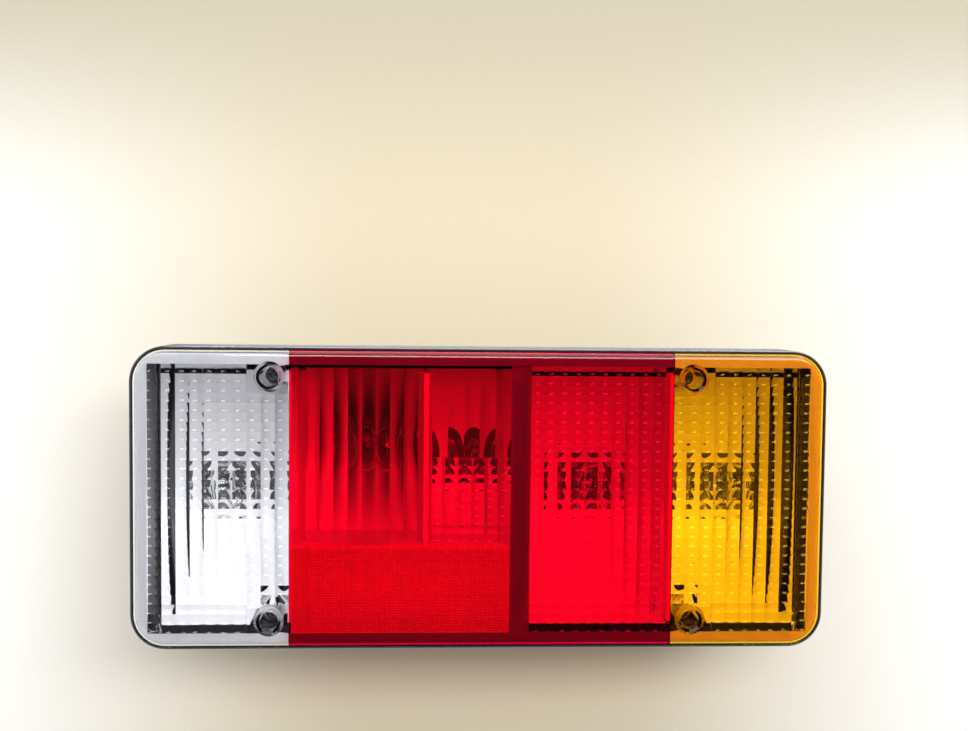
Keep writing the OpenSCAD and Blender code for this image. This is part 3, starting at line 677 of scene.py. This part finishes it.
def studs():
    sheet = Sheet()
    count = int((STUD_L - UNTHREADED) / THREAD_PITCH * PITCH_STEPS)
    heights = [-STUD_L + STUD_BEVEL + i * THREAD_PITCH / PITCH_STEPS for i in range(count + 1)]
    tip = [(AXIS_R, -STUD_L), (STUD_R - STUD_BEVEL, -STUD_L)]
    head_top = STUD_SEAT + STUD_HEAD_H
    head = [(STUD_R, STUD_RECESS), (STUD_SHOULDER_R, STUD_RECESS), (STUD_SHOULDER_R, STUD_SEAT),
            (STUD_HEAD_R, STUD_SEAT), (STUD_HEAD_R, head_top), (AXIS_R, head_top)]
    for x in (-STUD_X, STUD_X):
        for y in (-STUD_Y, STUD_Y):
            rows = ([flatted_row(x, y, z, r) for r, z in tip]
                    + [thread_row(x, y, z, heights[0], heights[-1]) for z in heights]
                    + [flatted_row(x, y, z, r) for r, z in head])
            sheet.grid(rows, closed=True)
            sheet.face(rows[0])
            sheet.face(rows[-1])
    sheet.piece("mounting_studs_threaded", "zinc_steel", ["mounting_studs"], sharp=40)


tray_edge()
studs()
dress_nodes()


# ---------------------------------------------------------------------------
# Stage, lights and camera, in metres
# ---------------------------------------------------------------------------
TABLE_HALF, TABLE_GAP = 3.0, 0.001
AIM = Vector((0, -0.04, 0))           # where the lamps point
SENSOR_MM, PHOTO_W_PX, FOCAL_PX = 36, 968, 1200


def table_top():
    """Pale table that the lamp lies on, lens up, with painted light and shade: lighter towards both
    sides and darker towards the top. Seen from behind it lets the view through.
    """
    y, s = CONNECTOR_L * MM + TABLE_GAP, TABLE_HALF
    mesh = bpy.data.meshes.new("table_top")
    mesh.from_pydata([(-s, y, -s), (s, y, -s), (s, y, s), (-s, y, s)], [], [(0, 1, 2, 3)])
    shader = Shader("table_top", Roughness=0.7, Specular_IOR_Level=0.2)
    split = shader.add("SeparateXYZ")
    shader.feed(split.inputs[0], shader.place)
    sideways = shader.add("Math", operation="ABSOLUTE")
    shader.feed(sideways.inputs[0], split.outputs["X"])
    # Painted light: the table grows lighter towards both sides.
    near = shader.mix(shader.smooth_step(sideways.outputs[0], 0.05, 0.34),
                      srgb(228, 214, 184), srgb(252, 250, 245))
    # Painted shade: the table grows darker towards the top.
    shader.vary_colour(shader.smooth_step(split.outputs["Z"], 0.12, 0.29),
                       near, srgb(194, 185, 162))
    shader.bump(shader.noise(700, 3), 0.0001)
    shader.let_through(shader.add("NewGeometry").outputs["Backfacing"])
    mesh.materials.append(shader.material)
    obj = bpy.data.objects.new("table_top", mesh)
    bpy.context.scene.collection.objects.link(obj)
    obj.visible_shadow = False
    obj.visible_diffuse = False
    obj.visible_glossy = False


def soft_lamp(name, place, size, watts):
    light = bpy.data.lights.new(name, "AREA")
    light.shape = "RECTANGLE"
    light.size, light.size_y = size
    light.energy = watts
    obj = bpy.data.objects.new(name, light)
    obj.location = place
    obj.rotation_euler = (AIM - Vector(place)).to_track_quat("-Z", "Y").to_euler()
    bpy.context.scene.collection.objects.link(obj)


def world_light():
    """A pale room whose front stays dark in the lens, so that it can be looked into."""
    world = bpy.data.worlds.new("studio")
    bpy.context.scene.world = world
    world.use_nodes = True
    nodes = Nodes(world.node_tree)
    split = nodes.add("SeparateXYZ")
    nodes.feed(split.inputs[0], nodes.add("TexCoord").outputs["Generated"])
    path = nodes.add("LightPath")
    depth = split.outputs["Y"]
    for kind, shift in (("Is Glossy Ray", -0.6), ("Is Diffuse Ray", 2.0)):
        shifted = nodes.add("Math", operation="MULTIPLY_ADD")
        nodes.feed(shifted.inputs[0], path.outputs[kind])
        nodes.feed(shifted.inputs[1], shift)
        nodes.feed(shifted.inputs[2], depth)
        depth = shifted.outputs[0]
    room = nodes.mix(nodes.smooth_step(depth, -0.85, -0.35),
                     (0.03, 0.03, 0.032, 1), (0.42, 0.43, 0.45, 1))
    shown = nodes.mix(path.outputs["Is Camera Ray"], room, srgb(238, 234, 222))
    nodes.feed(world.node_tree.nodes["Background"].inputs["Color"], shown)


def camera():
    """The photograph's camera, fitted on the lens's outline and seams."""
    data = bpy.data.cameras.new("camera")
    data.sensor_width = SENSOR_MM
    data.lens = FOCAL_PX * SENSOR_MM / PHOTO_W_PX
    obj = bpy.data.objects.new("camera", data)
    right = Vector((0.99855, -0.05277, 0.01027))
    up = Vector((-0.00746, 0.05319, 0.99856))
    forward = Vector((0.05324, 0.99719, -0.05272))
    matrix = Matrix((right, up, -forward)).transposed().to_4x4()
    matrix.translation = Vector((-31.26, -673.82, 97.91)) * MM
    obj.matrix_world = matrix
    bpy.context.scene.collection.objects.link(obj)
    bpy.context.scene.camera = obj


table_top()
soft_lamp("window", place=(-0.2, -0.95, 1.5), size=(3.0, 1.2), watts=28)
soft_lamp("room", place=(0.4, -1.9, 0.75), size=(1.8, 0.45), watts=26)
soft_lamp("behind", place=(0.3, 1.4, 1.0), size=(1.8, 1.4), watts=16)
world_light()
camera()

bpy.context.scene.view_settings.view_transform = "Standard"
